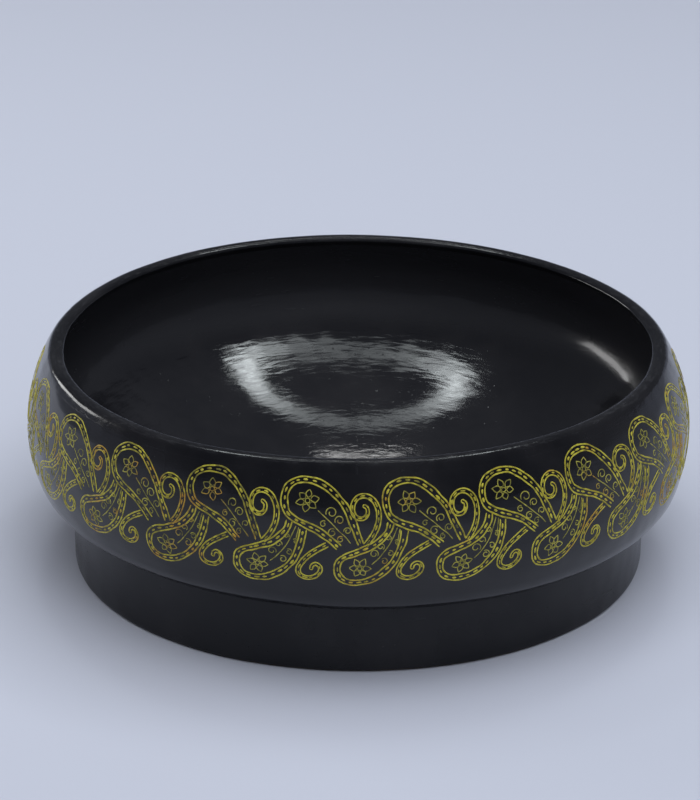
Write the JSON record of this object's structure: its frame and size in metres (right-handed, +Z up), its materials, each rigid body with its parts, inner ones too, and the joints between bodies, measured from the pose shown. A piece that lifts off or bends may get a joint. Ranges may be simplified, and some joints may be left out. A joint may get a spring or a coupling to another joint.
{
  "type": "lacquered bowl",
  "caption": "Wide black-lacquered bowl with an incurved rim on a broad foot ring, its belly painted in gold with a band of interlocking botehs.",
  "frame": {"origin": "middle of the foot ring's resting face", "axes": "+Z up along the bowl's axis; -Y is the side an onlooker sees first"},
  "size_m": [0.2602, 0.2602, 0.0884],
  "materials": {
    "core": "matte",
    "black_lacquer": "gloss",
    "lip_lacquer": "satin",
    "gold_paint": "satin",
    "fine_gold_paint": "satin"
  },
  "bodies": {
    "root": {"bowl_core": "core", "foot_ring": "core", "lip_binding": "lip_lacquer", "outer_lacquer": "black_lacquer", "inner_lacquer": "black_lacquer", "foot_lacquer": "black_lacquer", "recess_lacquer": "black_lacquer", "upper_botehs": "gold_paint", "lower_botehs": "gold_paint", "upper_tendrils": "gold_paint", "lower_tendrils": "gold_paint", "upper_blossoms": "fine_gold_paint", "lower_blossoms": "fine_gold_paint", "upper_sprigs": "fine_gold_paint", "lower_sprigs": "fine_gold_paint"}
  },
  "joints": []
}
